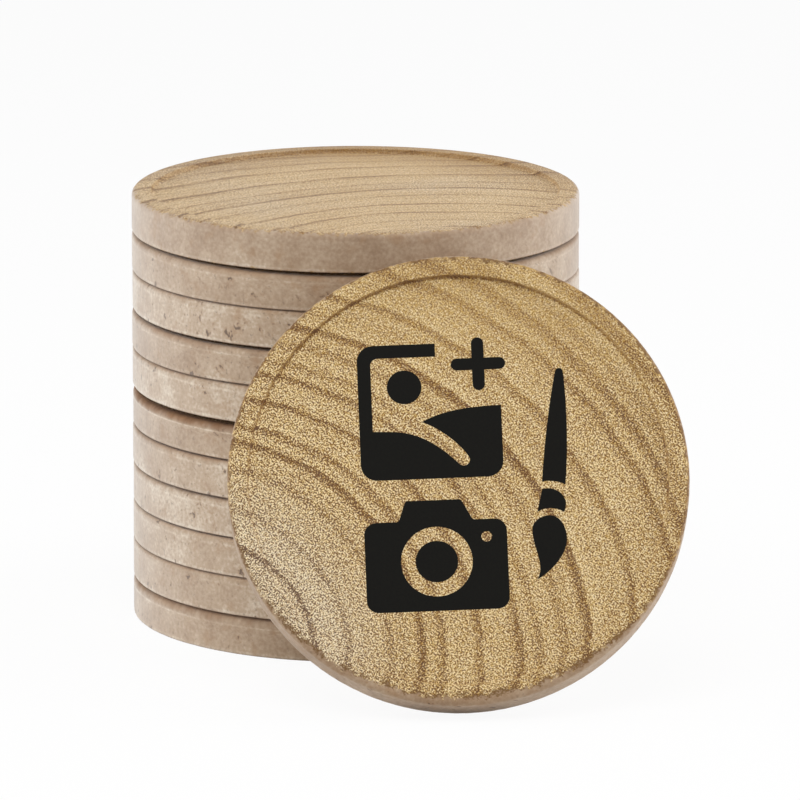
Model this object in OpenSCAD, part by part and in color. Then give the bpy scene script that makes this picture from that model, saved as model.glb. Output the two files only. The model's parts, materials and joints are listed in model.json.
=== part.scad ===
// Set of round wooden game tokens: a straight stack and one more token that leans on its side.
// Every token is one turned piece of wood, well rounded round its upper face and nearly sharp
// round its lower one, and both faces have a shallow recess inside a raised rim.
// Millimetres, +Z up. The origin is on the table, in the middle of the set's footprint.

/* [Token] */
// Diameter of a token
token_d = 40; // [36:0.5:44]
// Thickness of a token over its rims
token_t = 3.5; // [3:0.1:5]
// Width of the raised rim, from the outside to the foot of the recess wall
rim_w = 1.8; // [1.4:0.1:4]
// Depth of the recess inside the rim
recess_depth = 0.4; // [0.2:0.05:0.8]
// Radius of the rounded edge round the upper face
face_edge_r = 0.4; // [0.2:0.05:0.8]
// Radius of the rounded edge round the lower face, the back of the leaning token
back_edge_r = 0.15; // [0.1:0.05:0.4]
// Radius of the rounded inner lip of the rim
lip_r = 0.12; // [0.05:0.01:0.2]
// Radius of the fillet at the foot of the recess wall
fillet_r = 0.25; // [0.05:0.01:0.5]

/* [Stack] */
// Number of tokens in the stack
stack_count = 11; // [6:1:14]

/* [Leaning token] */
// Lean of the loose token away from upright, in degrees
lean_angle = 27; // [15:0.5:45]
// Distance sideways from the stack's axis to the middle of the leaning token
lean_offset = 9; // [0:0.5:15]
// Clearance between the leaning token and the stack where they meet
lean_gap = 0.1; // [0.05:0.05:0.5]

/* [Hidden] */
$fn = 96;
wood_colour = [0.74, 0.62, 0.45];

token_r = token_d / 2;
recess_r = token_r - rim_w;
stack_h = stack_count * token_t;

// The fillet and the lip share the height of the recess wall
lip = min(lip_r, recess_depth / 2);
fillet = min(fillet_r, recess_depth - lip);

// A rounded edge is a ring of that radius about a core circle.
// The leaning token meets the table and the stack with the ring of its back edge.
ring_r = token_r - back_edge_r;
ring_z = back_edge_r + ring_r * cos(lean_angle);
ring_clearance = back_edge_r + lean_gap;

// Where the ring's core passes the stack's side at angle a from its highest point,
// the middle of the ring has to stay this far forward for the two to clear each other
function ring_point_x(a) = lean_offset + ring_r * sin(a);
function ring_point_z(a) = ring_z + ring_r * cos(a) * cos(lean_angle);
function y_clear_of_side(a) =
    -sqrt(pow(token_r + ring_clearance, 2) - pow(ring_point_x(a), 2))
    - ring_r * cos(a) * sin(lean_angle);
function ring_passes_side(a) =
    abs(ring_point_x(a)) < token_r + ring_clearance
    && ring_point_z(a) < stack_h + ring_clearance;

// The same for the leaning token's flat back over the stack's top edge at angle a from the front:
// the core circle of that edge keeps clear of the plane that the ring's core lies in
face_core_r = token_r - face_edge_r;
face_clearance = face_edge_r + ring_clearance;
top_above_ring = stack_h - face_edge_r - ring_z;
top_up_the_back = top_above_ring / cos(lean_angle) + face_clearance * tan(lean_angle);
function y_clear_of_top(a) =
    -face_core_r * cos(a)
    - (top_above_ring * sin(lean_angle) + face_clearance) / cos(lean_angle);
function back_covers_top(a) =
    pow(face_core_r * sin(a) - lean_offset, 2) + pow(top_up_the_back, 2) < pow(ring_r, 2);

// The first of these contacts that the token meets is where it comes to rest
lean_step = 0.5;
ring_y = min(concat(
    [for (a = [-180 : lean_step : 180]) if (ring_passes_side(a)) y_clear_of_side(a)],
    [for (a = [-90 : lean_step : 90]) if (back_covers_top(a)) y_clear_of_top(a)]
));

// Footprint of the whole set, measured from the stack's axis
core_depth = token_t - back_edge_r - face_edge_r;
front_y = ring_y - face_core_r * sin(lean_angle) - core_depth * cos(lean_angle) - face_edge_r;
footprint_middle = [lean_offset / 2, (token_r + front_y) / 2];

function two_digits(number) = str(number < 10 ? "0" : "", number);

// The sliver between a square corner at [0, 0] and an arc that touches both of its sides
module corner_sliver(r) {
    difference() {
        square(r);
        translate([r, r]) circle(r);
    }
}

// What the lathe takes away on one face: the recess, the round of the lip and the round of the edge
module face_cut(edge_r) {
    overrun = token_t / 4;
    difference() {
        translate([0, -overrun]) square([recess_r, recess_depth + overrun]);
        translate([recess_r, recess_depth]) rotate(180) corner_sliver(fillet);
    }
    translate([recess_r, 0]) corner_sliver(lip);
    translate([token_r, 0]) rotate(90) corner_sliver(edge_r);
}

// One token lying flat, its lower rim on z = 0
module token() {
    rotate_extrude() {
        difference() {
            square([token_r, token_t]);
            face_cut(back_edge_r);
            translate([0, token_t]) mirror([0, 1]) face_cut(face_edge_r);
        }
    }
}

// The stack's axis stands beside the origin, which is in the middle of the footprint
module on_footprint() {
    translate([-footprint_middle.x, -footprint_middle.y, 0]) children();
}

// Token of the stack, counted from 0 at the bottom: its rims lie on the rims of the token below
module stack_token(level) {
    color(wood_colour) on_footprint() translate([0, 0, level * token_t]) token();
}

// Loose token on its back edge, tipped against the stack
module leaning_token() {
    color(wood_colour) on_footprint()
        translate([lean_offset, ring_y, ring_z])
            rotate([90 - lean_angle, 0, 0])
                translate([0, 0, -back_edge_r]) token();
}

for (level = [0 : stack_count - 1]) {
    stack_token(level);
}
leaning_token();
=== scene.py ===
"""Looks of a set of wooden game tokens: a stack of turned tokens and a printed one that leans on it."""
import json
import math

import bmesh
import bpy
import numpy as np
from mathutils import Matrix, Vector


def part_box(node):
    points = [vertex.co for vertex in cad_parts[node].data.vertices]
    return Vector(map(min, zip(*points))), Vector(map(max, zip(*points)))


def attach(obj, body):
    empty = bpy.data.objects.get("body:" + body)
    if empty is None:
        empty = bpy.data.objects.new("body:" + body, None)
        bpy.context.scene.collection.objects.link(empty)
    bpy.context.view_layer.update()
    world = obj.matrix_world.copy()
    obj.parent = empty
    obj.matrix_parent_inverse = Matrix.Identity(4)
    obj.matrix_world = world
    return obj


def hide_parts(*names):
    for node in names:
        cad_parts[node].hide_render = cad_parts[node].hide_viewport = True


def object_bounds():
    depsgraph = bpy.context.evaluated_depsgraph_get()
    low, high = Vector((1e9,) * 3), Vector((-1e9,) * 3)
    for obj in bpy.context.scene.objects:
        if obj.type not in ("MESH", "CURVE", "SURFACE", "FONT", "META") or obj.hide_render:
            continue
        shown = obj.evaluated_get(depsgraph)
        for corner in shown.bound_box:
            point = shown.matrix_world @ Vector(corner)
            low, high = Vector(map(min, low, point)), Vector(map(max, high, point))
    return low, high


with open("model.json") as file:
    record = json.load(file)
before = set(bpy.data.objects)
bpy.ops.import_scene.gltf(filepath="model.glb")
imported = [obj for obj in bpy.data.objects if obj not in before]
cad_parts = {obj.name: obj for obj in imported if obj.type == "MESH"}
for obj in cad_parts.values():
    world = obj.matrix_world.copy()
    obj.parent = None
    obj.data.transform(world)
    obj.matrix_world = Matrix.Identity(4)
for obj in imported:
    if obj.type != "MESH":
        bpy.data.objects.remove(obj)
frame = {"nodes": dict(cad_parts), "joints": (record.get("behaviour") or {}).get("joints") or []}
cad_low, cad_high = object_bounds()

# Sizes of a token in millimetres: the outside from the frame, the turned detail as the solids have it
MM = 0.001
base_low, base_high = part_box("stack_token_01")
TOKEN_R = (base_high.x - base_low.x) / 2 / MM
TOKEN_T = (base_high.z - base_low.z) / MM
STACK_AXIS = np.array([base_low.x + base_high.x, base_low.y + base_high.y]) / 2 / MM
RIM_W = 1.8
RECESS_DEPTH = 0.4
FACE_EDGE_R = 0.4
BACK_EDGE_R = 0.15
LIP_R = 0.12
FILLET_R = 0.25
RECESS_R = TOKEN_R - RIM_W
HALF_T = TOKEN_T / 2
FLOOR_Z = HALF_T - RECESS_DEPTH

# The leaning token turns about the ring of its back edge, and its joint ends where it stands upright
tip_joint = next(joint for joint in frame["joints"] if joint["name"] == "leaning_token_tip")
LEAN = math.radians(tip_joint["range_deg"][1])
LEAN_FOOT = np.array(tip_joint["pos_m"]) / MM

STACK = sorted(name for name in frame["nodes"] if name.startswith("stack_token_"))

# Fineness of the turned meshes: steps round the axis, and along each stretch of the profile
TURN_STEPS = 640
ARC_STEPS = 7
FLOOR_STEPS = 10
RIM_STEPS = 5
SIDE_STEPS = 5

# Wear in millimetres at its most, and the waves that carry it round the token: slow and fine unevenness
# of the side, and the rubbing of its edges, which a power gathers in few places
SIDE_SWELL, SWELL_WAVES = 0.03, (2, 3, 5, 8)
SIDE_ROUGHNESS, ROUGH_WAVES = 0.02, (31, 47, 83, 120)
EDGE_LOSS, EDGE_WAVES, EDGE_GATHERED = 0.06, (7, 13, 29, 61, 110), 3
# Height of the rubbed part of an edge, in millimetres
WORN_H = 0.2
# The lowest wave beside the highest, and what the two finer waves add to a token's seed
LEAST_WAVE = 0.4
ROUGH_SEED, EDGE_SEED = 100, 200

# How far each token's upper face falls short of full thickness at its thinnest side, in millimetres,
# and the direction of that side in degrees, from the bottom of the stack to its top
THINNING = (0.05, 0.04, 0.10, 0.16, 0.12, 0.42, 0.08, 0.30, 0.06, 0.34, 0.0)
THIN_SIDE = (250, 210, 230, 265, 200, 215, 300, 235, 180, 275, 0)
# Radius to which the edge round each token's upper face is worn, in millimetres
WORN_EDGE_R = (0.7, 0.4, 0.4, 0.45, 0.4, 0.6, 0.4, 0.45, 0.4, 0.45, 0.45)
# Slip of each token sideways in the stack, in millimetres
SLIP = (0.0, 0.02, 0.01, 0.02, 0.01, 0.02, 0.02, 0.01, 0.02, 0.02, 0.01)
# How pale the side of each token is beside the others, how much dirt and painted shade its upper seam
# holds, with a painted highlight below it, and how many dark flecks it has, from the bottom of the stack
# to its top
PALENESS = (-0.01, 0.05, 0.13, 0.15, 0.07, -0.03, 0.13, -0.02, 0.14, 0.0, -0.07)
SEAM_DIRT_SHADE = (0.6, 0.25, 0.25, 0.35, 0.4, 0.9, 0.4, 0.45, 0.3, 0.4, 0.1)
FLECKS = (0.6, 0.7, 0.7, 0.8, 0.9, 0.8, 0.9, 1.0, 1.0, 0.8, 0.25)
# The same three for the leaning token
LEANING_FINISH = (-0.1, 0.1, 0.8)

# Middle of the growth rings, in millimetres from a token's own middle, seen on its upper face:
# given for the two faces that show, and on the others a turn of the golden angle from token to token
LEANING_PITH = (-19.0, -27.0)
TOP_PITH = (9.0, -28.0)
PITH_DISTANCE = 34.0
GOLDEN_ANGLE = 137.5
# Depth in the wood from one token to the next, so that no two are alike
BOARD_STEP = 60.0


def arc(middle, radius, start, end, steps=ARC_STEPS):
    """Points on a circle about the middle, from one angle to another in degrees."""
    turn = np.radians(np.linspace(start, end, steps))
    return np.column_stack((middle[0] + radius * np.cos(turn), middle[1] + radius * np.sin(turn)))


def on_circle(radius, degrees):
    """The point at that angle on a circle about the origin."""
    return arc((0.0, 0.0), radius, degrees, degrees, 1)[0]


def line(start, end, steps=2):
    """Points at even steps on the straight line from start to end."""
    share = np.linspace(0.0, 1.0, steps)[:, None]
    return np.array(start) * (1.0 - share) + np.array(end) * share


def joined(*stretches):
    """The stretches as one row of points, each without the point that it shares with the one before."""
    return np.concatenate([stretches[0]] + [stretch[1:] for stretch in stretches[1:]])


def half_profile(edge_r):
    """Upper half of a token's outline, as radius and height above its middle plane.

    From the axis outwards it is floor, fillet, wall, lip, rim, an edge of that radius, and side.
    """
    foot = RECESS_R - FILLET_R
    edge = TOKEN_R - edge_r
    return joined(
        line((0.0, FLOOR_Z), (foot, FLOOR_Z), FLOOR_STEPS),
        arc((foot, FLOOR_Z + FILLET_R), FILLET_R, -90, 0),
        line((RECESS_R, FLOOR_Z + FILLET_R), (RECESS_R, HALF_T - LIP_R)),
        arc((RECESS_R + LIP_R, HALF_T - LIP_R), LIP_R, 180, 90),
        line((RECESS_R + LIP_R, HALF_T), (edge, HALF_T), RIM_STEPS),
        arc((edge, HALF_T - edge_r), edge_r, 90, 0),
        line((TOKEN_R, HALF_T - edge_r), (TOKEN_R, 0.0), SIDE_STEPS),
    )


def token_profile(face_edge_r):
    """Outline of a token from pole to pole: an upper half, and another one turned over as the lower."""
    lower = half_profile(BACK_EDGE_R)[-2::-1] * (1.0, -1.0)
    return np.concatenate((half_profile(face_edge_r), lower))


def carried_round(profile):
    """Radius and height of a profile, repeated at each step of the turn."""
    return (np.repeat(profile[:, column : column + 1], TURN_STEPS, axis=1) for column in (0, 1))


def ripple(turn, waves, seed):
    """A closed uneven curve between 0 and 1 round a circle: a sum of cosine waves at seeded phases."""
    draw = np.random.default_rng(seed)
    phases = draw.uniform(0.0, 2.0 * math.pi, len(waves))
    heights = draw.uniform(LEAST_WAVE, 1.0, len(waves))
    total = sum(h * np.cos(n * turn + p) for n, p, h in zip(waves, phases, heights))
    return 0.5 + 0.5 * total / heights.sum()


def turned_token(seed, worn_edge_r=FACE_EDGE_R, thinning=0.0, thin_side=0.0, slip=0.0):
    """Points of a token in its own frame, a grid of profile steps by turn steps, true and as worn.

    Radius and height of the profile are carried round the axis. On the worn token the upper edge is
    rounder, the side loses a little at uneven places, the edges are rubbed where the ripple is high,
    and the upper half is lowered by a plane that falls towards the thin side. Millimetres.
    """
    turn = np.arange(TURN_STEPS) / TURN_STEPS * 2.0 * math.pi
    radius, height = carried_round(token_profile(FACE_EDGE_R))
    true = np.stack((radius * np.cos(turn), radius * np.sin(turn), height), axis=-1)
    radius, height = carried_round(token_profile(worn_edge_r))
    outside = np.clip((radius - RECESS_R) / RIM_W, 0.0, 1.0)
    swollen = SIDE_SWELL * ripple(turn, SWELL_WAVES, seed)
    rough = SIDE_ROUGHNESS * ripple(turn, ROUGH_WAVES, seed + ROUGH_SEED)
    rubbed = EDGE_LOSS * ripple(turn, EDGE_WAVES, seed + EDGE_SEED) ** EDGE_GATHERED
    on_edge = np.clip((np.abs(height) - (HALF_T - WORN_H)) / WORN_H, 0.0, 1.0) * outside
    radius = radius - outside * (slip + swollen + rough) - on_edge * rubbed
    thin_angle = math.radians(thin_side)
    lowered = thinning / 2.0 * (1.0 + radius / TOKEN_R * np.cos(turn - thin_angle))
    height = height - lowered * np.clip(height / FLOOR_Z, 0.0, 1.0)
    slip_x, slip_y = on_circle(slip, GOLDEN_ANGLE * seed)
    return true, np.stack((radius * np.cos(turn) + slip_x, radius * np.sin(turn) + slip_y, height), axis=-1)


def closed_grid_faces(rows, columns):
    """Quads of a grid that closes round its columns, with one point as each pole, facing outwards."""
    row = np.arange(rows - 1)[:, None] * columns
    column = np.arange(columns)
    following = np.roll(column, -1)
    corners = (row + column, row + columns + column, row + columns + following, row + following)
    quads = np.stack(corners, axis=-1).reshape(-1, 4)
    top_pole = rows * columns
    top = np.column_stack((np.full(columns, top_pole), column, following))
    last = (rows - 1) * columns
    bottom = np.column_stack((np.full(columns, top_pole + 1), last + following, last + column))
    return quads.tolist() + top.tolist() + bottom.tolist()


def closed_points(grid):
    """The points of a grid in one row, its first and last rows drawn together to a pole each."""
    return np.concatenate((grid[1:-1].reshape(-1, 3), grid[0, :1], grid[-1, :1]))


def upright_frame(middle):
    """Rotation and place of a token that lies flat with its own middle there."""
    return np.eye(3), np.array(middle)


def leaning_frame():
    """Rotation and place of the leaning token.

    The lowest point of its foot ring is on the hinge, and its face looks up and forward.
    """
    sine = math.sin(LEAN)
    cosine = math.cos(LEAN)
    rotation = np.array([[1.0, 0.0, 0.0], [0.0, sine, -cosine], [0.0, cosine, sine]])
    foot = np.array([0.0, BACK_EDGE_R - TOKEN_R, BACK_EDGE_R - HALF_T])
    return rotation, LEAN_FOOT - rotation @ foot


def add_vectors(mesh, name, vectors):
    """Keeps one vector for each point of the mesh under that name, for the material to read."""
    attribute = mesh.attributes.new(name, "FLOAT_VECTOR", "POINT")
    attribute.data.foreach_set("vector", vectors.astype(np.float32).ravel())


def token_piece(name, grids, pose, pith, board, finish):
    """A closed token mesh at its pose, with each point's place on the token and in its board of wood.

    Its finish is kept at each point too: the paleness of its side, the dirt and painted shade in its upper
    seam and the share of dark flecks.
    """
    rotation, place = pose
    true, worn = (closed_points(grid) for grid in grids)
    mesh = bpy.data.meshes.new(name)
    points = (worn @ rotation.T + place) * MM
    mesh.from_pydata(points.tolist(), [], closed_grid_faces(len(grids[0]) - 2, TURN_STEPS))
    mesh.polygons.foreach_set("use_smooth", np.ones(len(mesh.polygons), dtype=bool))
    add_vectors(mesh, "token_mm", true)
    add_vectors(mesh, "board_mm", true - (pith[0], pith[1], -BOARD_STEP * board))
    add_vectors(mesh, "finish", np.tile(finish, (len(true), 1)))
    piece = bpy.data.objects.new(name, mesh)
    bpy.context.collection.objects.link(piece)
    return piece


def display(red, green, blue):
    """A display's colour, 0 to 255, as a shader's linear opaque colour, by the standard display curve."""
    shares = np.array([red, green, blue]) / 255.0
    linear = np.where(shares <= 0.04045, shares / 12.92, ((shares + 0.055) / 1.055) ** 2.4)
    return (*linear.tolist(), 1.0)


WHITE = display(255, 255, 255)
# Places of the two colours among a Mix node's inputs, and of the mixed colour among its outputs
MIX_LOW, MIX_HIGH, MIX_RESULT = 6, 7, 2


class Shade:
    """A shader socket. Arithmetic with other sockets or with numbers adds Math nodes."""

    def __init__(self, tree, socket=None):
        self.tree = tree
        self.socket = socket

    def node(self, kind, settings=None, inputs=None, output=0):
        """Adds a node: its settings come first, then its inputs take numbers, colours or links."""
        made = self.tree.nodes.new(kind)
        for name, value in (settings or {}).items():
            if name == "stops":
                self.set_stops(made.color_ramp, value)
            else:
                setattr(made, name, value)
        for key, value in (inputs or {}).items():
            if isinstance(value, Shade):
                self.tree.links.new(value.socket, made.inputs[key])
            else:
                made.inputs[key].default_value = value
        return Shade(self.tree, made.outputs[output])

    @staticmethod
    def set_stops(ramp, stops):
        """Gives a colour ramp its stops, each a place and a colour."""
        while len(ramp.elements) < len(stops):
            ramp.elements.new(1.0)
        for element, (place, colour) in zip(ramp.elements, stops):
            element.position = place
            element.color = colour

    def math(self, operation, *values):
        """The result of one operation of the Math node on these values."""
        return self.node("ShaderNodeMath", {"operation": operation}, dict(enumerate(values)))

    def __add__(self, other):
        return self.math("ADD", self, other)

    def __radd__(self, other):
        return self.math("ADD", other, self)

    def __sub__(self, other):
        return self.math("SUBTRACT", self, other)

    def __rsub__(self, other):
        return self.math("SUBTRACT", other, self)

    def __mul__(self, other):
        return self.math("MULTIPLY", self, other)

    def __rmul__(self, other):
        return self.math("MULTIPLY", other, self)

    def __truediv__(self, other):
        return self.math("DIVIDE", self, other)

    def __rtruediv__(self, other):
        return self.math("DIVIDE", other, self)

    def __pow__(self, other):
        return self.math("POWER", self, other)

    def __neg__(self):
        return self.math("SUBTRACT", 0.0, self)

    def __abs__(self):
        return self.math("ABSOLUTE", self)

    def larger(self, other):
        """The larger of two numbers."""
        return self.math("MAXIMUM", self, other)

    def fraction(self):
        """What a number has past the whole one below it."""
        return self.math("FRACT", self)

    def swing(self, reach=1.0):
        """A number between 0 and 1 as one about 0, with that reach from its lowest to its highest."""
        return (self - 0.5) * reach

    def between(self, low, high):
        """A number between 0 and 1 as one between low and high."""
        return self * (high - low) + low

    def step(self, low, high):
        """0 below low, 1 above high and a smooth rise between."""
        return self.node(
            "ShaderNodeMapRange",
            {"interpolation_type": "SMOOTHSTEP"},
            {"Value": self, "From Min": low, "From Max": high, "To Min": 0.0, "To Max": 1.0},
        )

    def near(self, middle, full, gone):
        """1 within one distance of the middle, 0 past the other and a smooth fall between."""
        return 1.0 - abs(self - middle).step(full, gone)

    def parts(self):
        """The three numbers of a vector."""
        split = self.node("ShaderNodeSeparateXYZ", None, {"Vector": self})
        outputs = split.socket.node.outputs
        return [Shade(self.tree, outputs[axis]) for axis in "XYZ"]

    def stretched(self, scale):
        """A vector times a scale along each axis."""
        return self.node("ShaderNodeVectorMath", {"operation": "MULTIPLY"}, {0: self, 1: scale})

    def turned(self, degrees):
        """A vector turned about +Z."""
        return self.node(
            "ShaderNodeVectorRotate",
            {"rotation_type": "Z_AXIS"},
            {"Vector": self, "Angle": math.radians(degrees)},
        )

    def noise(self, scale, detail=2.0, roughness=0.5):
        """Cloudy noise about 0.5 at this vector, with that many clouds to the millimetre."""
        inputs = {"Vector": self, "Scale": scale, "Detail": detail, "Roughness": roughness}
        return self.node("ShaderNodeTexNoise", None, inputs)

    def row_noise(self, scale):
        """Noise along one number, about 0.5."""
        return self.node("ShaderNodeTexNoise", {"noise_dimensions": "1D"}, {"W": self, "Scale": scale})

    def ramp(self, *stops):
        """A colour for this number, by stops of place and colour."""
        return self.node("ShaderNodeValToRGB", {"stops": stops}, {"Fac": self})

    def blend(self, low_colour, high_colour):
        """One colour where this number is 0 and the other where it is 1."""
        inputs = {"Factor": self, MIX_LOW: low_colour, MIX_HIGH: high_colour}
        return self.node("ShaderNodeMix", {"data_type": "RGBA"}, inputs, MIX_RESULT)

    def mixed(self, low_shader, high_shader):
        """One shader where this number is 0 and the other where it is 1."""
        return self.node("ShaderNodeMixShader", None, {0: self, 1: low_shader, 2: high_shader})


def new_material(name):
    """An empty node material, and a start from which its nodes are made."""
    material = bpy.data.materials.new(name)
    material.use_nodes = True
    material.node_tree.nodes.clear()
    return material, Shade(material.node_tree)


def show(surface, kind="ShaderNodeOutputMaterial"):
    """Makes a shader the surface of its material, or of its world."""
    output = surface.tree.nodes.new(kind)
    surface.tree.links.new(surface.socket, output.inputs["Surface"])


# Growth rings of the plain faces, in millimetres: the width of a year and of the fine rings in it,
# how far the rings lean for each millimetre of depth, and how far they wander slowly and quickly
YEAR_W = 3.4
FINE_RING_W = 1.1
RING_SLANT = 1.2
SLOW_WANDER, QUICK_WANDER = 4.0, 0.5
# Shares of a year at which the late wood begins, is dark, begins to end and has ended
LATE_FROM, LATE_DARK, LATE_LAST, YEAR_END = 0.76, 0.94, 0.95, 1.0
# Unevenness of the years and of the fine rings, in rings
YEAR_UNEVEN, FINE_UNEVEN = 1.6, 1.2
# Strength of the faintest year, of the faintest patch and of the fine rings, and the most that is grey
FAINT_YEAR, FAINT_PATCH, FINE_DARK, GREYEST = 0.35, 0.4, 0.3, 0.4
# Bands of tone to the millimetre across the rings
BAND_COUNT = 0.45


def growth_rings(place, board):
    """Late wood, the tone of each year's band and how grey the wood is, each about 0 to 1.

    The rings go about the pith, lean through the token, wander a little and fade in places. Each year's
    wood darkens and then ends in a sharp line.
    """
    x, y, _ = board.parts()
    _, _, depth = place.parts()
    wander = board.noise(0.05, detail=1.0).swing(SLOW_WANDER) + board.noise(0.3).swing(QUICK_WANDER)
    distance = (x * x + y * y) ** 0.5 + depth * RING_SLANT + wander
    year = (distance / YEAR_W + distance.row_noise(0.13) * YEAR_UNEVEN).fraction()
    late = year.step(LATE_FROM, LATE_DARK) * (1.0 - year.step(LATE_LAST, YEAR_END))
    strength = distance.row_noise(0.31).step(0.3, 0.65).between(FAINT_YEAR, 1.0)
    patchy = board.noise(0.16).step(0.25, 0.65).between(FAINT_PATCH, 1.0)
    fine_ring = (distance / FINE_RING_W + board.noise(0.5, detail=1.0) * FINE_UNEVEN).fraction()
    fine = fine_ring.step(0.65, 1.0) * FINE_DARK
    grey = board.noise(0.07).step(0.42, 0.66) * GREYEST
    return late * strength * patchy + fine, distance.row_noise(BAND_COUNT), grey


# Places of the late wood on the printed face, in millimetres outwards along its rings, and how dark it is
PRINTED_RINGS = (
    (1.3, 1.0),
    (5.8, 0.45),
    (10.9, 0.5),
    (14.3, 1.0),
    (16.4, 0.6),
    (19.9, 0.85),
    (23.4, 0.8),
    (25.1, 0.4),
    (27.4, 0.4),
    (29.7, 1.2),
    (34.2, 0.9),
    (38.3, 0.85),
    (40.2, 0.8),
    (41.6, 0.4),
    (44.0, 0.7),
    (46.2, 0.7),
)
# Near the pith these rings swing to the left, and they tilt a little all over
RING_SWING, SWING_FALL, RING_TILT = 29.0, 0.62, 0.2
# In millimetres: how long the wood darkens before a ring's place, and where it begins and ends to turn
# pale after it
LATE_RISE = 0.95
LATE_REST, LATE_FALL = 0.05, 0.5
# The width of its fine rings, how far the rings lean for each millimetre of depth, and how far they wander
PRINTED_FINE_W = 0.55
PRINTED_SLANT = 0.8
PRINTED_WANDER = 0.9
# Strength of the faintest patch and of the fine rings
PRINTED_FAINT, PRINTED_FINE_DARK = 0.7, 0.1
# The wood is grey up to the first place on the rings, and golden from the second one outwards
GREY_TO, GOLDEN_FROM = 1.0, 15.0


def printed_rings(place, board):
    """Late wood, the tone of the wood between and how grey it is, each about 0 to 1, on the printed face.

    A place on the rings is the distance to the pith, less a swing that ends where the rings are wide.
    The wood darkens slowly outwards to each ring's place and is pale again soon after it.
    """
    x, y, _ = board.parts()
    _, _, depth = place.parts()
    distance = (x * x + y * y) ** 0.5
    swung = (RING_SWING - distance * SWING_FALL).larger(0.0) * (1.0 - x / distance)
    wander = board.noise(0.25).swing(PRINTED_WANDER) + (depth - FLOOR_Z) * PRINTED_SLANT
    outwards = distance - swung - y * RING_TILT + wander
    late = 0.0
    for ring, strength in PRINTED_RINGS:
        past = outwards - ring
        late = late + past.step(-LATE_RISE, 0.0) * (1.0 - past.step(LATE_REST, LATE_FALL)) * strength
    patchy = board.noise(0.2).step(0.25, 0.6).between(PRINTED_FAINT, 1.0)
    fine_ring = (outwards / PRINTED_FINE_W + board.noise(0.5, detail=1.0) * FINE_UNEVEN).fraction()
    fine = fine_ring.step(0.5, 1.0) * PRINTED_FINE_DARK
    grey = 1.0 - outwards.step(GREY_TO, GOLDEN_FROM)
    return late * patchy + fine, outwards.row_noise(BAND_COUNT), grey


def inwards_from_edge(place):
    """Millimetres from the corner of side and face, and from the token's axis.

    The first is positive on the face and negative down the side.
    """
    x, y, z = place.parts()
    radius = (x * x + y * y) ** 0.5
    return TOKEN_R - radius + abs(z) - HALF_T, radius


# Sandy speckle: grains to the millimetre, a count at which floor and rim cut the noise alike,
# and the turn of the grains on the token in degrees
GRAIN_COUNT = 7.5
GRAIN_TURN = 37.0
# Where the top and the left of a face begin and are full, in millimetres from its middle
TOP_FROM, TOP_TO = 4.0, 17.0
LEFT_FROM, LEFT_TO = 0.0, 16.0
# Recess wall, in millimetres: above the floor where it begins and is full, below the rim where it ends
WALL_FROM, WALL_FULL, WALL_ENDS = 0.02, 0.1, 0.08
# Share of the speckle missing on the recess wall and at the top of the face, and added at its left
WALL_CALM, TOP_CALM, LEFT_COARSE = 0.6, 0.5, 0.3
# Share of the late wood missing at the top of the face, and added at its left
TOP_FADED, LEFT_DARK = 0.35, 0.3
# Painted shade in the crease at the foot of the recess wall: how far it lies inside the wall, its half
# width, and how dark it is all round, more towards the top and more towards the left, away from the light
CREASE_IN, CREASE_W = 0.08, 0.22
CREASE_ALL, CREASE_TOP, CREASE_LEFT = 0.3, 0.78, 0.18
# Painted shade, brown, at the back of the recess and on the rim behind it: its reach from the wall, and
# where it begins and is full, in millimetres
SHADE_REACH = 8.0
SHADE_FROM, SHADE_TO = -4.0, 14.0
# Tone of the faces on their ramp, and how far it goes up and down
FACE_TONE = 0.60
TOP_PALE, GREY_PALE, RIM_DARK = 0.03, 0.04, 0.04
CLOUDS, BANDS = 0.2, 0.2
# Share of the colour missing in grey wood, and how far the colour of the grains swings
GREY_FADED, GRAIN_COLOUR = 0.22, 0.18


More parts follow.
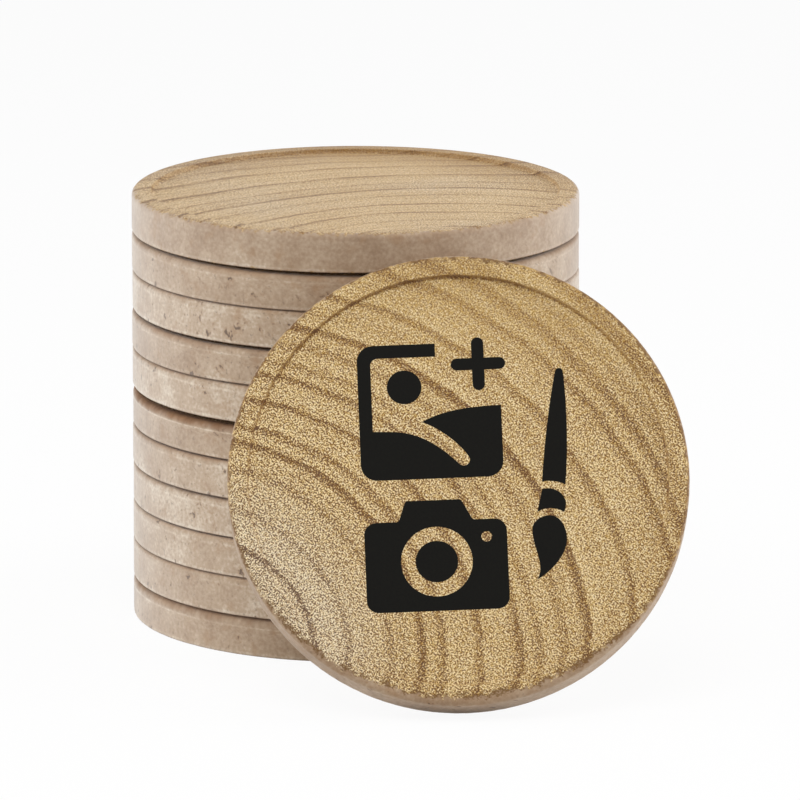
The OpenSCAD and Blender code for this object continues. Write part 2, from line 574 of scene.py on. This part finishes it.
def face_colour(place, radius, grown, sand, dark_rings, crease_shade, shade, stops):
    """Golden wood, and its speckle: growth rings, slow clouds and sandy grains choose a tone on the ramp.

    The rim is a little browner than the floor. Painted shade darkens the crease at the foot of the recess
    wall, most towards the top and a little towards the left, and browns the back of the recess and the rim
    behind it. Speckle and rings are weaker towards the top of the face and stronger towards its left.
    """
    rings, band, grey = grown
    x, y, z = place.parts()
    upper = y.step(TOP_FROM, TOP_TO)
    leftwards = (-x).step(LEFT_FROM, LEFT_TO)
    on_wall = (abs(z) - FLOOR_Z).step(WALL_FROM, WALL_FULL) * (HALF_T - abs(z)).step(0.0, WALL_ENDS)
    speckle = place.turned(GRAIN_TURN).noise(GRAIN_COUNT, detail=0.5).swing() * (1.0 - on_wall * WALL_CALM)
    sanded = speckle * (1.0 - upper * TOP_CALM + leftwards * LEFT_COARSE) * sand
    late = rings * (1.0 - upper * TOP_FADED + leftwards * LEFT_DARK) * dark_rings
    # Painted shade in the crease, darkest where the wall faces away from the light, at the top and the left
    away_from_light = (y * CREASE_TOP - x * CREASE_LEFT) / TOKEN_R + CREASE_ALL
    crease = radius.near(RECESS_R - CREASE_IN, 0.0, CREASE_W) * away_from_light.larger(0.0) * crease_shade
    # Painted shade, brown, at the back of the recess and on the rim behind it
    shaded = (1.0 - (RECESS_R - radius).step(0.0, SHADE_REACH)) * y.step(SHADE_FROM, SHADE_TO) * shade
    rim = radius.step(RECESS_R, RECESS_R + LIP_R) * RIM_DARK
    clouds = place.noise(0.12, detail=3.0).swing(CLOUDS) + band.swing(BANDS)
    tone = FACE_TONE + sanded + clouds + grey * GREY_PALE + upper * TOP_PALE
    golden = (tone - late - crease - shaded - rim).ramp(*stops)
    # The other side of the token's noise, so that colour and tone of the grains differ
    tinted = place.stretched((1.0, 1.0, -1.0)).noise(4.7, detail=1.0).swing(GRAIN_COLOUR) * sand
    richness = 1.0 - grey * GREY_FADED + tinted
    return golden.node("ShaderNodeHueSaturation", None, {"Color": golden, "Saturation": richness}), speckle


# Flecks on a token's side slant by this share of their height, and are longer upwards by its inverse
FLECK_SLANT = 0.5
# How far a token's share of flecks moves the noise that chooses them, and how dark the finest specks are
FLECK_SPREAD = 0.3
SPECK_DARK = 0.5


def side_flecks(board, many):
    """Dark slanting flecks of uneven size, 0 to 1, and the wider rusty halo round them."""
    x, y, z = board.parts()
    lean = z * FLECK_SLANT
    slanted = board.node("ShaderNodeCombineXYZ", None, {"X": x + lean, "Y": y + lean, "Z": lean})
    blot = slanted.noise(1.2, detail=2.5, roughness=0.6)
    chosen = (board.noise(0.3, detail=1.0) + many * FLECK_SPREAD).step(0.64, 0.82)
    flecks = blot.step(0.635, 0.70) * chosen
    specks = slanted.noise(3.1, detail=1.0).step(0.66, 0.74) * many * SPECK_DARK
    return flecks.larger(specks), blot.step(0.54, 0.70) * chosen


# Pale lines on a token's side, partly worn wood and partly painted highlight: in millimetres from its
# lower and its upper face, and how pale they are
LOWER_LINE_FROM, LOWER_LINE_TO, LOWER_PALE = 0.4, 0.25, 0.14
UPPER_LINE, UPPER_LINE_W, UPPER_PALE = 0.68, 0.2, 0.3
# Height of the dirt and painted shade under the upper face, in millimetres
DIRT_SHADE_H = 0.8
# Tone of the sides on their ramp, and how far patches, slow clouds and pores swing it
SIDE_TONE = 0.57
SIDE_PATCHES, SIDE_CLOUDS, SIDE_PORES = 0.85, 0.5, 0.5
# Strength of the stains and the flecks on the sides, and their colours. The stain colour also
# paints the dirt and painted shade under the upper face
RUST_STAIN, HALO_STAIN, FLECK_DARK = 0.4, 0.5, 0.85
RUST_AND_SHADE = display(152, 110, 62)
FLECK = display(82, 58, 38)


def side_colour(place, board, paleness, seam_dirt_shade, many):
    """Pale bare wood: mottling, rust stains, dark flecks, and dirt with painted shade along the upper edge.
    A pale line of worn wood and painted highlight runs just above the lower edge, and another below the
    upper one where the seam holds dirt and painted shade.
    """
    _, _, z = place.parts()
    patches = board.noise(0.4, detail=4.0, roughness=0.65).swing(SIDE_PATCHES)
    clouds = board.noise(0.13, detail=1.0).swing(SIDE_CLOUDS)
    mottling = patches + clouds + board.noise(3.2).swing(SIDE_PORES)
    # Painted highlights, partly paler worn wood, just above the lower edge and below the upper seam
    lower_wear_highlight = (-z).step(HALF_T - LOWER_LINE_FROM, HALF_T - LOWER_LINE_TO) * LOWER_PALE
    upper_wear_highlight = z.near(HALF_T - UPPER_LINE, 0.0, UPPER_LINE_W) * seam_dirt_shade * UPPER_PALE
    pale = (SIDE_TONE + paleness + mottling + lower_wear_highlight + upper_wear_highlight).ramp(
        (0.0, display(128, 99, 68)),
        (0.4, display(162, 135, 107)),
        (0.7, display(185, 162, 136)),
        (1.0, display(218, 204, 184)),
    )
    flecks, halo = side_flecks(board, many)
    rust = board.noise(0.55, detail=4.0, roughness=0.6).step(0.52, 0.72) * RUST_STAIN
    # Dirt and painted shade along the upper edge, under the seam, in the stain colour
    dirt_and_shade = z.step(HALF_T - DIRT_SHADE_H, HALF_T) * board.noise(0.22).step(0.40, 0.58) * seam_dirt_shade
    stained_and_shaded = rust.larger(dirt_and_shade).larger(halo * HALO_STAIN).blend(pale, RUST_AND_SHADE)
    return (flecks * FLECK_DARK).blend(stained_and_shaded, FLECK)


# Seam dirt and painted shade in millimetres: how ragged its border is, and how far it reaches past the
# round of the edge that holds it
DIRT_SHADE_RAGGED, DIRT_SHADE_REACH = 0.9, 0.35
# Height above the middle plane over which a side comes to belong to the upper edge, in millimetres,
# and the share of dirt and painted shade on the round of the lower edge
UPPER_FULL = 0.1
LOWER_DIRT_SHADE = 0.8


def groove_share(place, inwards, seam_dirt_shade):
    """Dirt and painted shade in seams, 0 to 1: over the round of the upper edge, and on the lower one."""
    _, _, z = place.parts()
    ragged = inwards + place.noise(0.9, detail=3.0).swing(DIRT_SHADE_RAGGED)
    dirty_and_shaded = ragged.step(-FACE_EDGE_R - DIRT_SHADE_REACH * seam_dirt_shade, FACE_EDGE_R / 2.0)
    upper = dirty_and_shaded * z.step(0.0, UPPER_FULL) * seam_dirt_shade
    lower = (-z).step(HALF_T - BACK_EDGE_R, HALF_T) * LOWER_DIRT_SHADE
    return upper.larger(lower)


# Height of the raised grain, in metres
GRAIN_HEIGHT = 0.04 * MM


def bare_wood(start, colour, rough, height, sheen):
    """Unpolished wood in a colour, with raised grain and a dusty sheen on what is seen edge on."""
    raised = {"Strength": 0.5, "Distance": GRAIN_HEIGHT, "Height": height}
    return start.node(
        "ShaderNodeBsdfPrincipled",
        None,
        {
            "Base Color": colour,
            "Roughness": rough,
            "Normal": start.node("ShaderNodeBump", None, raised, "Normal"),
            "Specular IOR Level": 0.3,
            "Sheen Weight": sheen,
            "Sheen Roughness": 0.58,
        },
    )


# Border of the golden wood, in millimetres: how far it frays and the half width of its soft line
FRAY = 1.9
BORDER_SOFT = 0.2
# Scorched fringe of the border: how far inwards its middle lies, where it is full and where it is gone
FRINGE_IN, FRINGE_FULL, FRINGE_GONE = 0.1, 0.15, 0.5
SCORCHED = display(108, 74, 34)
# Share of the radius, from the middle down, at which the foot of a leaning token begins
FOOT_FROM = 0.35
FACE_SHEEN = 0.05
# Roughness of golden face, bare side and seam dirt, and how far grains and pores change it
FACE_ROUGH, SIDE_ROUGH, GROOVE_ROUGH = 0.6, 0.55, 0.7
GRAIN_ROUGH, PORE_ROUGH = 0.3, 0.2
# Depth of the late wood beside the height of the grains
RING_DEPTH = 0.5


def wood(name, grow, sand, dark_rings, crease_shade, shade, scorch, bare_edge, bare_foot, side_sheen, stops):
    """Token of wood: golden faces that end in a frayed border near the edge, and pale bare sides.

    On the faces, sand is the strength of the speckle, dark_rings of the late wood, crease_shade of the
    painted shade in the crease at the foot of the recess wall, shade of the painted brown shade at its
    back, and scorch of the fringe at the border.
    The border lies bare_edge inwards from the corner of side and face, and further by bare_foot on the
    part of the edge that the token stands on when it leans.
    """
    material, start = new_material(name)
    place, board, finish = (
        start.node("ShaderNodeAttribute", {"attribute_name": kept}, None, "Vector")
        for kept in ("token_mm", "board_mm", "finish")
    )
    paleness, seam_dirt_shade, flecks = finish.parts()
    inwards, radius = inwards_from_edge(place)
    _, y, _ = place.parts()
    foot = (-y).step(TOKEN_R * FOOT_FROM, TOKEN_R) * bare_foot
    border = inwards + place.noise(2.6, detail=3.0, roughness=0.6).swing(FRAY) - foot - bare_edge
    golden = border.step(-BORDER_SOFT, BORDER_SOFT)
    crumbs = place.noise(0.9).step(0.40, 0.54)
    fringe = border.near(FRINGE_IN, FRINGE_FULL, FRINGE_GONE) * crumbs * scorch
    grown = grow(place, board)
    colour, speckle = face_colour(place, radius, grown, sand, dark_rings, crease_shade, shade, stops)
    fringed = fringe.blend(colour, SCORCHED)
    raised = speckle - grown[0] * RING_DEPTH
    face = bare_wood(start, fringed, FACE_ROUGH + speckle * GRAIN_ROUGH, raised, FACE_SHEEN)
    pores = board.noise(1.5, detail=3.0)
    pale = side_colour(place, board, paleness, seam_dirt_shade, flecks)
    side = bare_wood(start, pale, SIDE_ROUGH + pores * PORE_ROUGH, pores, side_sheen)
    # Brown of the seams, dirt and painted shade, without the sheen
    brown = pores.between(0.2, 0.8).ramp((0.3, display(98, 64, 38)), (0.7, display(140, 104, 72)))
    groove = bare_wood(start, brown, GROOVE_ROUGH + pores * PORE_ROUGH, pores, 0.0)
    show(golden.mixed(groove_share(place, inwards, seam_dirt_shade).mixed(side, groove), face))
    return material


# Height of the grain in the print, in metres
INK_GRAIN_HEIGHT = 0.02 * MM


def printed_ink():
    """Flat black print that lets a little of the sandy grain show in its gloss and tone."""
    material, start = new_material("black_print")
    place = start.node("ShaderNodeTexCoord", None, None, "Object").stretched((1.0 / MM,) * 3)
    grain = place.noise(4.6, roughness=0.65)
    raised = {"Strength": 0.3, "Distance": INK_GRAIN_HEIGHT, "Height": grain}
    shader = start.node(
        "ShaderNodeBsdfPrincipled",
        None,
        {
            "Base Color": grain.ramp((0.3, display(6, 5, 3)), (0.7, display(16, 15, 11))),
            "Roughness": 0.65 + grain.swing(0.2),
            "Normal": start.node("ShaderNodeBump", None, raised, "Normal"),
            "Specular IOR Level": 0.1,
        },
    )
    show(shader)
    return material


# The signs lie on the floor of the leaning token's recess, in millimetres from its middle,
# and the whole print is turned a little on the token, in degrees
PRINT_TURN = 2.3
INK_THICKNESS = 0.02
INK_SUNK = 0.004
# Doubled points of a film lie closer together than this
WELD_GAP = INK_THICKNESS / 20.0
# Points to a curve, to a round end and to a whole circle
CURVE_STEPS = 12
CAP_STEPS = 13
DISC_STEPS = 64


def bezier(start, pull, push, end):
    """Points of a cubic curve from start to end, drawn towards pull as it leaves and push as it arrives."""
    share = np.linspace(0.0, 1.0, CURVE_STEPS)[:, None]
    rest = 1.0 - share
    weights = (rest**3, 3.0 * rest**2 * share, 3.0 * rest * share**2, share**3)
    return sum(weight * np.array(point) for weight, point in zip(weights, (start, pull, push, end)))


def curved(start, *stretches):
    """Closed outline of cubic curves, each given by the two points that draw it and the point it ends at.

    The last one ends at the start.
    """
    starts = (start, *(end for _, _, end in stretches))
    return joined(*(bezier(place, *stretch) for place, stretch in zip(starts, stretches)))[:-1]


def rounded(corners):
    """Closed outline through corners, each given as x, y and the radius that rounds it.

    Each corner's arc touches both of its sides, and its middle lies on the corner's bisector. It is one
    cubic curve, with handles of the length that follows a circle.
    """
    corners = np.array(corners, dtype=float)
    stretches = []
    for corner, before, after in zip(corners, np.roll(corners, 1, axis=0), np.roll(corners, -1, axis=0)):
        tip, radius = corner[:2], corner[2]
        back = (before[:2] - tip) / np.linalg.norm(before[:2] - tip)
        ahead = (after[:2] - tip) / np.linalg.norm(after[:2] - tip)
        half = math.acos(np.clip(back @ ahead, -1.0, 1.0)) / 2.0
        reach = radius / math.tan(half)
        handle = reach - 4.0 / 3.0 * math.tan((math.pi / 2.0 - half) / 2.0) * radius
        points = (tip + back * reach, tip + back * handle, tip + ahead * handle, tip + ahead * reach)
        stretches.append(bezier(*points))
    return np.concatenate(stretches)


def disc(middle, radius):
    """Closed outline of a circle."""
    return arc(middle, radius, 0, 360, DISC_STEPS + 1)[:-1]


def turned_flat(points, degrees):
    """Flat points turned anticlockwise about the origin."""
    turn = math.radians(degrees)
    return points @ np.array([[math.cos(turn), math.sin(turn)], [-math.sin(turn), math.cos(turn)]])


PICTURE_LEFT, PICTURE_RIGHT = -8.35, 3.97
PICTURE_BOTTOM, PICTURE_TOP = 0.2, 12.22
FRAME_BAR = 1.15
FRAME_CORNER = 1.4
INNER_CORNER = 0.63
FRAME_GAP_X = -1.55
# The slot between the hills: its round end, and the direction across it in degrees
SLOT_MIDDLE, SLOT_R, SLOT_TURN = (0.56, 1.78), 0.53, 38
# The right hill meets the frame, the slot ends in its tip, and the left hill is level at the frame
HILL_RIGHT_Y = 6.53
HILL_TIP = (-2.92, 5.27)
HILL_LEFT, HILL_LEFT_Y = (-6.0, 4.5), 4.55
# Points that draw the ridge of the right hill, and the upper and the lower side of the slot
RIDGE_PULLS = ((1.0, 6.5), (-1.2, 6.2))
SLOT_UPPER_PULLS = ((-1.3, 4.6), (0.2, 3.3))
SLOT_LOWER_PULLS = ((-1.5, 3.1), (-3.2, 4.5))
SUN_MIDDLE, SUN_R = (-4.34, 8.42), 1.5


def picture_outline():
    """Open picture frame with two hills: the frame's bar, its hills and the rounded slot between them."""
    left, right = PICTURE_LEFT + FRAME_CORNER, PICTURE_RIGHT - FRAME_CORNER
    bottom, top = PICTURE_BOTTOM + FRAME_CORNER, PICTURE_TOP - FRAME_CORNER
    inner_left = PICTURE_LEFT + FRAME_BAR
    inner_top = PICTURE_TOP - FRAME_BAR
    slot_side = on_circle(SLOT_R, SLOT_TURN)
    slot_upper, slot_lower = SLOT_MIDDLE + slot_side, SLOT_MIDDLE - slot_side
    return np.concatenate((
        [(FRAME_GAP_X, PICTURE_TOP)],
        arc((left, top), FRAME_CORNER, 90, 180),
        arc((left, bottom), FRAME_CORNER, 180, 270),
        arc((right, bottom), FRAME_CORNER, 270, 360),
        bezier((PICTURE_RIGHT, HILL_RIGHT_Y), *RIDGE_PULLS, HILL_TIP),
        bezier(HILL_TIP, *SLOT_UPPER_PULLS, slot_upper)[1:],
        arc(SLOT_MIDDLE, SLOT_R, SLOT_TURN, SLOT_TURN - 180, CAP_STEPS)[1:],
        bezier(slot_lower, *SLOT_LOWER_PULLS, HILL_LEFT)[1:],
        [(inner_left, HILL_LEFT_Y)],
        arc((inner_left + INNER_CORNER, inner_top - INNER_CORNER), INNER_CORNER, 180, 90),
        [(FRAME_GAP_X, inner_top)],
    ))


PLUS_MIDDLE, PLUS_REACH, PLUS_BAR = (2.13, 10.28), 2.36, 1.06


def plus_outline():
    """Plus sign with round ends: four half circles joined at square inner corners."""
    half = PLUS_BAR / 2.0
    cap = arc((PLUS_REACH - half, 0.0), half, -90, 90, CAP_STEPS)
    arm = np.concatenate((cap, [(half, half)]))
    return np.concatenate([turned_flat(arm, 90 * quarter) for quarter in range(4)]) + PLUS_MIDDLE


CAMERA_LEFT, CAMERA_RIGHT = -8.3, 4.0
CAMERA_BOTTOM, CAMERA_TOP, HUMP_TOP = -11.52, -3.55, -1.72
CAMERA_CORNER = 1.05
HUMP_FOOT_LEFT, HUMP_LEFT, HUMP_RIGHT, HUMP_FOOT_RIGHT = -5.3, -4.65, 0.14, 1.1
HUMP_CORNER = 0.3
LENS_MIDDLE, LENS_R, PUPIL_R = (-2.14, -7.16), 3.09, 1.83
LAMP_MIDDLE, LAMP_R = (2.24, -5.1), 0.46


def camera_outline():
    """Camera body with rounded corners and a hump for its viewfinder."""
    return rounded((
        (CAMERA_LEFT, CAMERA_BOTTOM, CAMERA_CORNER),
        (CAMERA_RIGHT, CAMERA_BOTTOM, CAMERA_CORNER),
        (CAMERA_RIGHT, CAMERA_TOP, CAMERA_CORNER),
        (HUMP_FOOT_RIGHT, CAMERA_TOP, HUMP_CORNER),
        (HUMP_RIGHT, HUMP_TOP, HUMP_CORNER),
        (HUMP_LEFT, HUMP_TOP, HUMP_CORNER),
        (HUMP_FOOT_LEFT, CAMERA_TOP, HUMP_CORNER),
        (CAMERA_LEFT, CAMERA_TOP, CAMERA_CORNER),
    ))


HANDLE_LEFT, HANDLE_RIGHT = (7.22, -0.45), (9.22, -0.78)
TIP_LEFT, TIP_RIGHT = (8.78, 9.35), (9.44, 9.35)
FERRULE_TOP_LEFT, FERRULE_TOP_RIGHT = (7.2, -1.1), (9.15, -2.1)
FERRULE_LEFT, FERRULE_RIGHT = (6.7, -3.12), (9.0, -3.2)
TUFT_TOP, TUFT_LEFT, TUFT_RIGHT, TUFT_TIP = (7.72, -3.45), (6.2, -4.6), (9.16, -5.4), (6.43, -9.1)


def handle_outline():
    """Brush handle: a long taper that rounds over at its tip and ends in a shallow hollow."""
    return curved(
        HANDLE_LEFT,
        ((7.62, 3.6), (8.35, 7.6), TIP_LEFT),
        ((8.86, 9.7), (9.34, 9.7), TIP_RIGHT),
        ((9.66, 6.9), (9.66, 2.6), HANDLE_RIGHT),
        ((8.7, -0.45), (7.8, -0.3), HANDLE_LEFT),
    )


def ferrule_outline():
    """Metal band of the brush: round shoulders above and a hollow foot."""
    return curved(
        FERRULE_LEFT,
        ((6.85, -2.5), (7.05, -1.8), FERRULE_TOP_LEFT),
        ((8.0, -0.9), (8.9, -1.3), FERRULE_TOP_RIGHT),
        ((9.25, -2.4), (9.2, -2.8), FERRULE_RIGHT),
        ((8.4, -2.75), (7.4, -2.65), FERRULE_LEFT),
    )


def tuft_outline():
    """Bristles of the brush: a drop that swells to the right and ends in a point."""
    return curved(
        TUFT_TOP,
        ((8.6, -3.45), (9.1, -4.4), TUFT_RIGHT),
        ((9.2, -6.8), (7.9, -8.3), TUFT_TIP),
        ((7.3, -7.8), (6.1, -6.2), TUFT_LEFT),
        ((6.25, -4.0), (6.9, -3.45), TUFT_TOP),
    )


def weld(mesh):
    """Closes a film: joins the points that a filled curve leaves doubled, and turns it outwards."""
    shell = bmesh.new()
    shell.from_mesh(mesh)
    bmesh.ops.remove_doubles(shell, verts=shell.verts, dist=WELD_GAP)
    bmesh.ops.recalc_face_normals(shell, faces=shell.faces)
    shell.to_mesh(mesh)
    shell.free()


def film_mesh(name, outlines):
    """A thin flat film with these closed outlines, an outline inside another being a gap in it."""
    curve = bpy.data.curves.new(name, "CURVE")
    curve.dimensions = "2D"
    curve.fill_mode = "BOTH"
    curve.extrude = INK_THICKNESS / 2.0
    for outline in outlines:
        spline = curve.splines.new("POLY")
        spline.points.add(len(outline) - 1)
        flat = np.column_stack((outline, np.zeros(len(outline)), np.ones(len(outline))))
        spline.points.foreach_set("co", flat.astype(np.float32).ravel())
        spline.use_cyclic_u = True
    drawn = bpy.data.objects.new(name + "_drawing", curve)
    bpy.context.collection.objects.link(drawn)
    bpy.context.view_layer.update()
    mesh = bpy.data.meshes.new_from_object(drawn.evaluated_get(bpy.context.evaluated_depsgraph_get()))
    bpy.data.objects.remove(drawn)
    mesh.name = name
    weld(mesh)
    return mesh


def print_sign(name, outlines, material):
    """A film of ink with these outlines, turned on the token and laid on the floor of its recess."""
    mesh = film_mesh(name, outlines)
    points = np.empty(len(mesh.vertices) * 3, dtype=np.float32)
    mesh.vertices.foreach_get("co", points)
    own = points.reshape(-1, 3).astype(float)
    own[:, :2] = turned_flat(own[:, :2], PRINT_TURN)
    own[:, 2] += FLOOR_Z + INK_THICKNESS / 2.0 - INK_SUNK
    rotation, place = leaning_frame()
    mesh.vertices.foreach_set("co", ((own @ rotation.T + place) * MM).astype(np.float32).ravel())
    mesh.update()
    mesh.materials.clear()
    mesh.materials.append(material)
    piece = bpy.data.objects.new(name, mesh)
    bpy.context.collection.objects.link(piece)
    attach(piece, "leaning_token")


# Camera: a long lens from in front and a little above, in millimetres and degrees
VIEW_PLACE = (-0.53, -789.7, 200.9)
VIEW_PITCH = 12.8
VIEW_LENS = 411.7
SENSOR_W = 36.0
# Nearest and farthest that it shows, in metres
VIEW_NEAR, VIEW_FAR = 0.01, 20.0


def place_camera():
    """The photograph's view: level across, looking along +Y and down."""
    data = bpy.data.cameras.new("camera")
    data.sensor_width = SENSOR_W
    data.lens = VIEW_LENS
    data.clip_start = VIEW_NEAR
    data.clip_end = VIEW_FAR
    camera = bpy.data.objects.new("camera", data)
    camera.location = np.array(VIEW_PLACE) * MM
    camera.rotation_euler = (math.radians(90.0 - VIEW_PITCH), 0.0, 0.0)
    bpy.context.collection.objects.link(camera)
    bpy.context.scene.camera = camera


# Softboxes: name, place and width in metres, and watts
SOFTBOXES = (
    ("left_softbox", (-0.34, 0.035, 0.13), 0.26, 0.61),
    ("right_softbox", (0.33, 0.02, 0.15), 0.26, 0.84),
    ("top_softbox", (-0.06, -0.20, 0.40), 0.30, 0.84),
)
# Strength of the dome of light, half the width of the floor in metres, how white it is, and the share of
# it that glows white to the eye
AMBIENT = 0.38
FLOOR_HALF = 1.5
FLOOR_WHITE = 0.88
FLOOR_GLOW = 0.92


def soft_light(name, place, width, watts):
    """A square softbox that faces the middle of the set."""
    data = bpy.data.lights.new(name, "AREA")
    data.shape = "SQUARE"
    data.size = width
    data.energy = watts
    light = bpy.data.objects.new(name, data)
    light.location = place
    middle = (cad_low + cad_high) / 2.0
    light.rotation_euler = (middle - light.location).to_track_quat("-Z", "Y").to_euler()
    bpy.context.collection.objects.link(light)


def white_to_rays(start):
    """1 for rays that show the background to the camera, in gloss or through glass."""
    path = start.node("ShaderNodeLightPath").socket.node.outputs
    kinds = ("Is Camera Ray", "Is Glossy Ray", "Is Transmission Ray")
    camera, glossy, through = (Shade(start.tree, path[kind]) for kind in kinds)
    return camera.larger(glossy).larger(through)


def light_world():
    """White to the eye and in reflections, and a grey dome of soft light on the tokens."""
    world = bpy.data.worlds.new("studio")
    world.use_nodes = True
    world.node_tree.nodes.clear()
    start = Shade(world.node_tree)
    strength = white_to_rays(start).between(AMBIENT, 1.0)
    dome = start.node("ShaderNodeBackground", None, {"Color": WHITE, "Strength": strength})
    show(dome, "ShaderNodeOutputWorld")
    bpy.context.scene.world = world


def lay_floor():
    """Flat white floor that keeps the tokens' shadow and otherwise shows white."""
    mesh = bpy.data.meshes.new("floor")
    corners = np.array([(-1, -1, 0), (1, -1, 0), (1, 1, 0), (-1, 1, 0)]) * FLOOR_HALF
    mesh.from_pydata(corners.tolist(), [], [(0, 1, 2, 3)])
    material, start = new_material("white_floor")
    off_white = (FLOOR_WHITE, FLOOR_WHITE, FLOOR_WHITE, 1.0)
    paper = start.node("ShaderNodeBsdfDiffuse", None, {"Color": off_white})
    glow = start.node("ShaderNodeEmission", None, {"Color": WHITE, "Strength": 1.0})
    show((white_to_rays(start) * FLOOR_GLOW).mixed(paper, glow))
    mesh.materials.append(material)
    floor = bpy.data.objects.new("floor", mesh)
    bpy.context.collection.objects.link(floor)


# The printed face is strongly speckled; the faces of the stack are paler and smoother,
# and only on the top one does the golden wood fray down over the edge
PRINTED_LOOK = {
    "sand": 2.7,
    "dark_rings": 0.40,
    "crease_shade": 0.36,
    "shade": 0.0,
    "scorch": 0.9,
    "bare_foot": 0.75,
    "side_sheen": 0.15,
    "stops": (
        (0.0, display(98, 62, 28)),
        (0.3, display(146, 110, 62)),
        (0.6, display(193, 160, 102)),
        (1.0, display(243, 221, 174)),
    ),
}
STACK_LOOK = {
    "sand": 2.0,
    "dark_rings": 0.40,
    "crease_shade": 0.12,
    "shade": 0.17,
    "scorch": 0.3,
    "bare_foot": 0.0,
    "side_sheen": 0.7,
    "stops": (
        (0.0, display(100, 68, 36)),
        (0.3, display(150, 116, 72)),
        (0.6, display(193, 163, 118)),
        (1.0, display(230, 209, 172)),
    ),
}
# How far inwards from the edge the golden wood ends on each, in millimetres
PRINTED_BARE, STACK_BARE, TOP_BARE = -0.15, 0.7, 0.1


def dress(token, node, material):
    """Lets a token stand for its node and move with it, in its own wood."""
    token.data.materials.append(material)
    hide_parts(node)
    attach(token, node)


def dress_stack():
    """The straight stack, from the bottom up, each token with its own wear and wood."""
    stack_wood = wood("stack_wood", growth_rings, bare_edge=STACK_BARE, **STACK_LOOK)
    top_wood = wood("top_token_wood", growth_rings, bare_edge=TOP_BARE, **STACK_LOOK)
    for level, node in enumerate(STACK):
        on_top = node == STACK[-1]
        pith = TOP_PITH if on_top else on_circle(PITH_DISTANCE, GOLDEN_ANGLE * level)
        grids = turned_token(level, WORN_EDGE_R[level], THINNING[level], THIN_SIDE[level], SLIP[level])
        middle = (STACK_AXIS[0], STACK_AXIS[1], (level + 0.5) * TOKEN_T)
        finish = (PALENESS[level], SEAM_DIRT_SHADE[level], FLECKS[level])
        token = token_piece(node + "_turned", grids, upright_frame(middle), pith, level, finish)
        dress(token, node, top_wood if on_top else stack_wood)


def dress_leaning_token():
    """The token that leans on the stack, cut from the wood after that of the top token."""
    printed_wood = wood("printed_face_wood", printed_rings, bare_edge=PRINTED_BARE, **PRINTED_LOOK)
    level = len(STACK)
    grids = turned_token(level)
    pose = leaning_frame()
    token = token_piece("leaning_token_turned", grids, pose, LEANING_PITH, level, LEANING_FINISH)
    dress(token, "leaning_token", printed_wood)


def print_signs():
    """The three signs on the leaning token: a picture with its plus, a camera and a brush."""
    ink = printed_ink()
    print_sign("picture_sign", [picture_outline(), disc(SUN_MIDDLE, SUN_R)], ink)
    print_sign("plus_sign", [plus_outline()], ink)
    camera_gaps = [disc(LENS_MIDDLE, LENS_R), disc(LAMP_MIDDLE, LAMP_R)]
    print_sign("camera_sign", [camera_outline(), *camera_gaps, disc(LENS_MIDDLE, PUPIL_R)], ink)
    print_sign("brush_sign", [handle_outline(), ferrule_outline(), tuft_outline()], ink)


bpy.context.scene.view_settings.view_transform = "Standard"
place_camera()
light_world()
lay_floor()
for softbox in SOFTBOXES:
    soft_light(*softbox)
dress_stack()
dress_leaning_token()
print_signs()
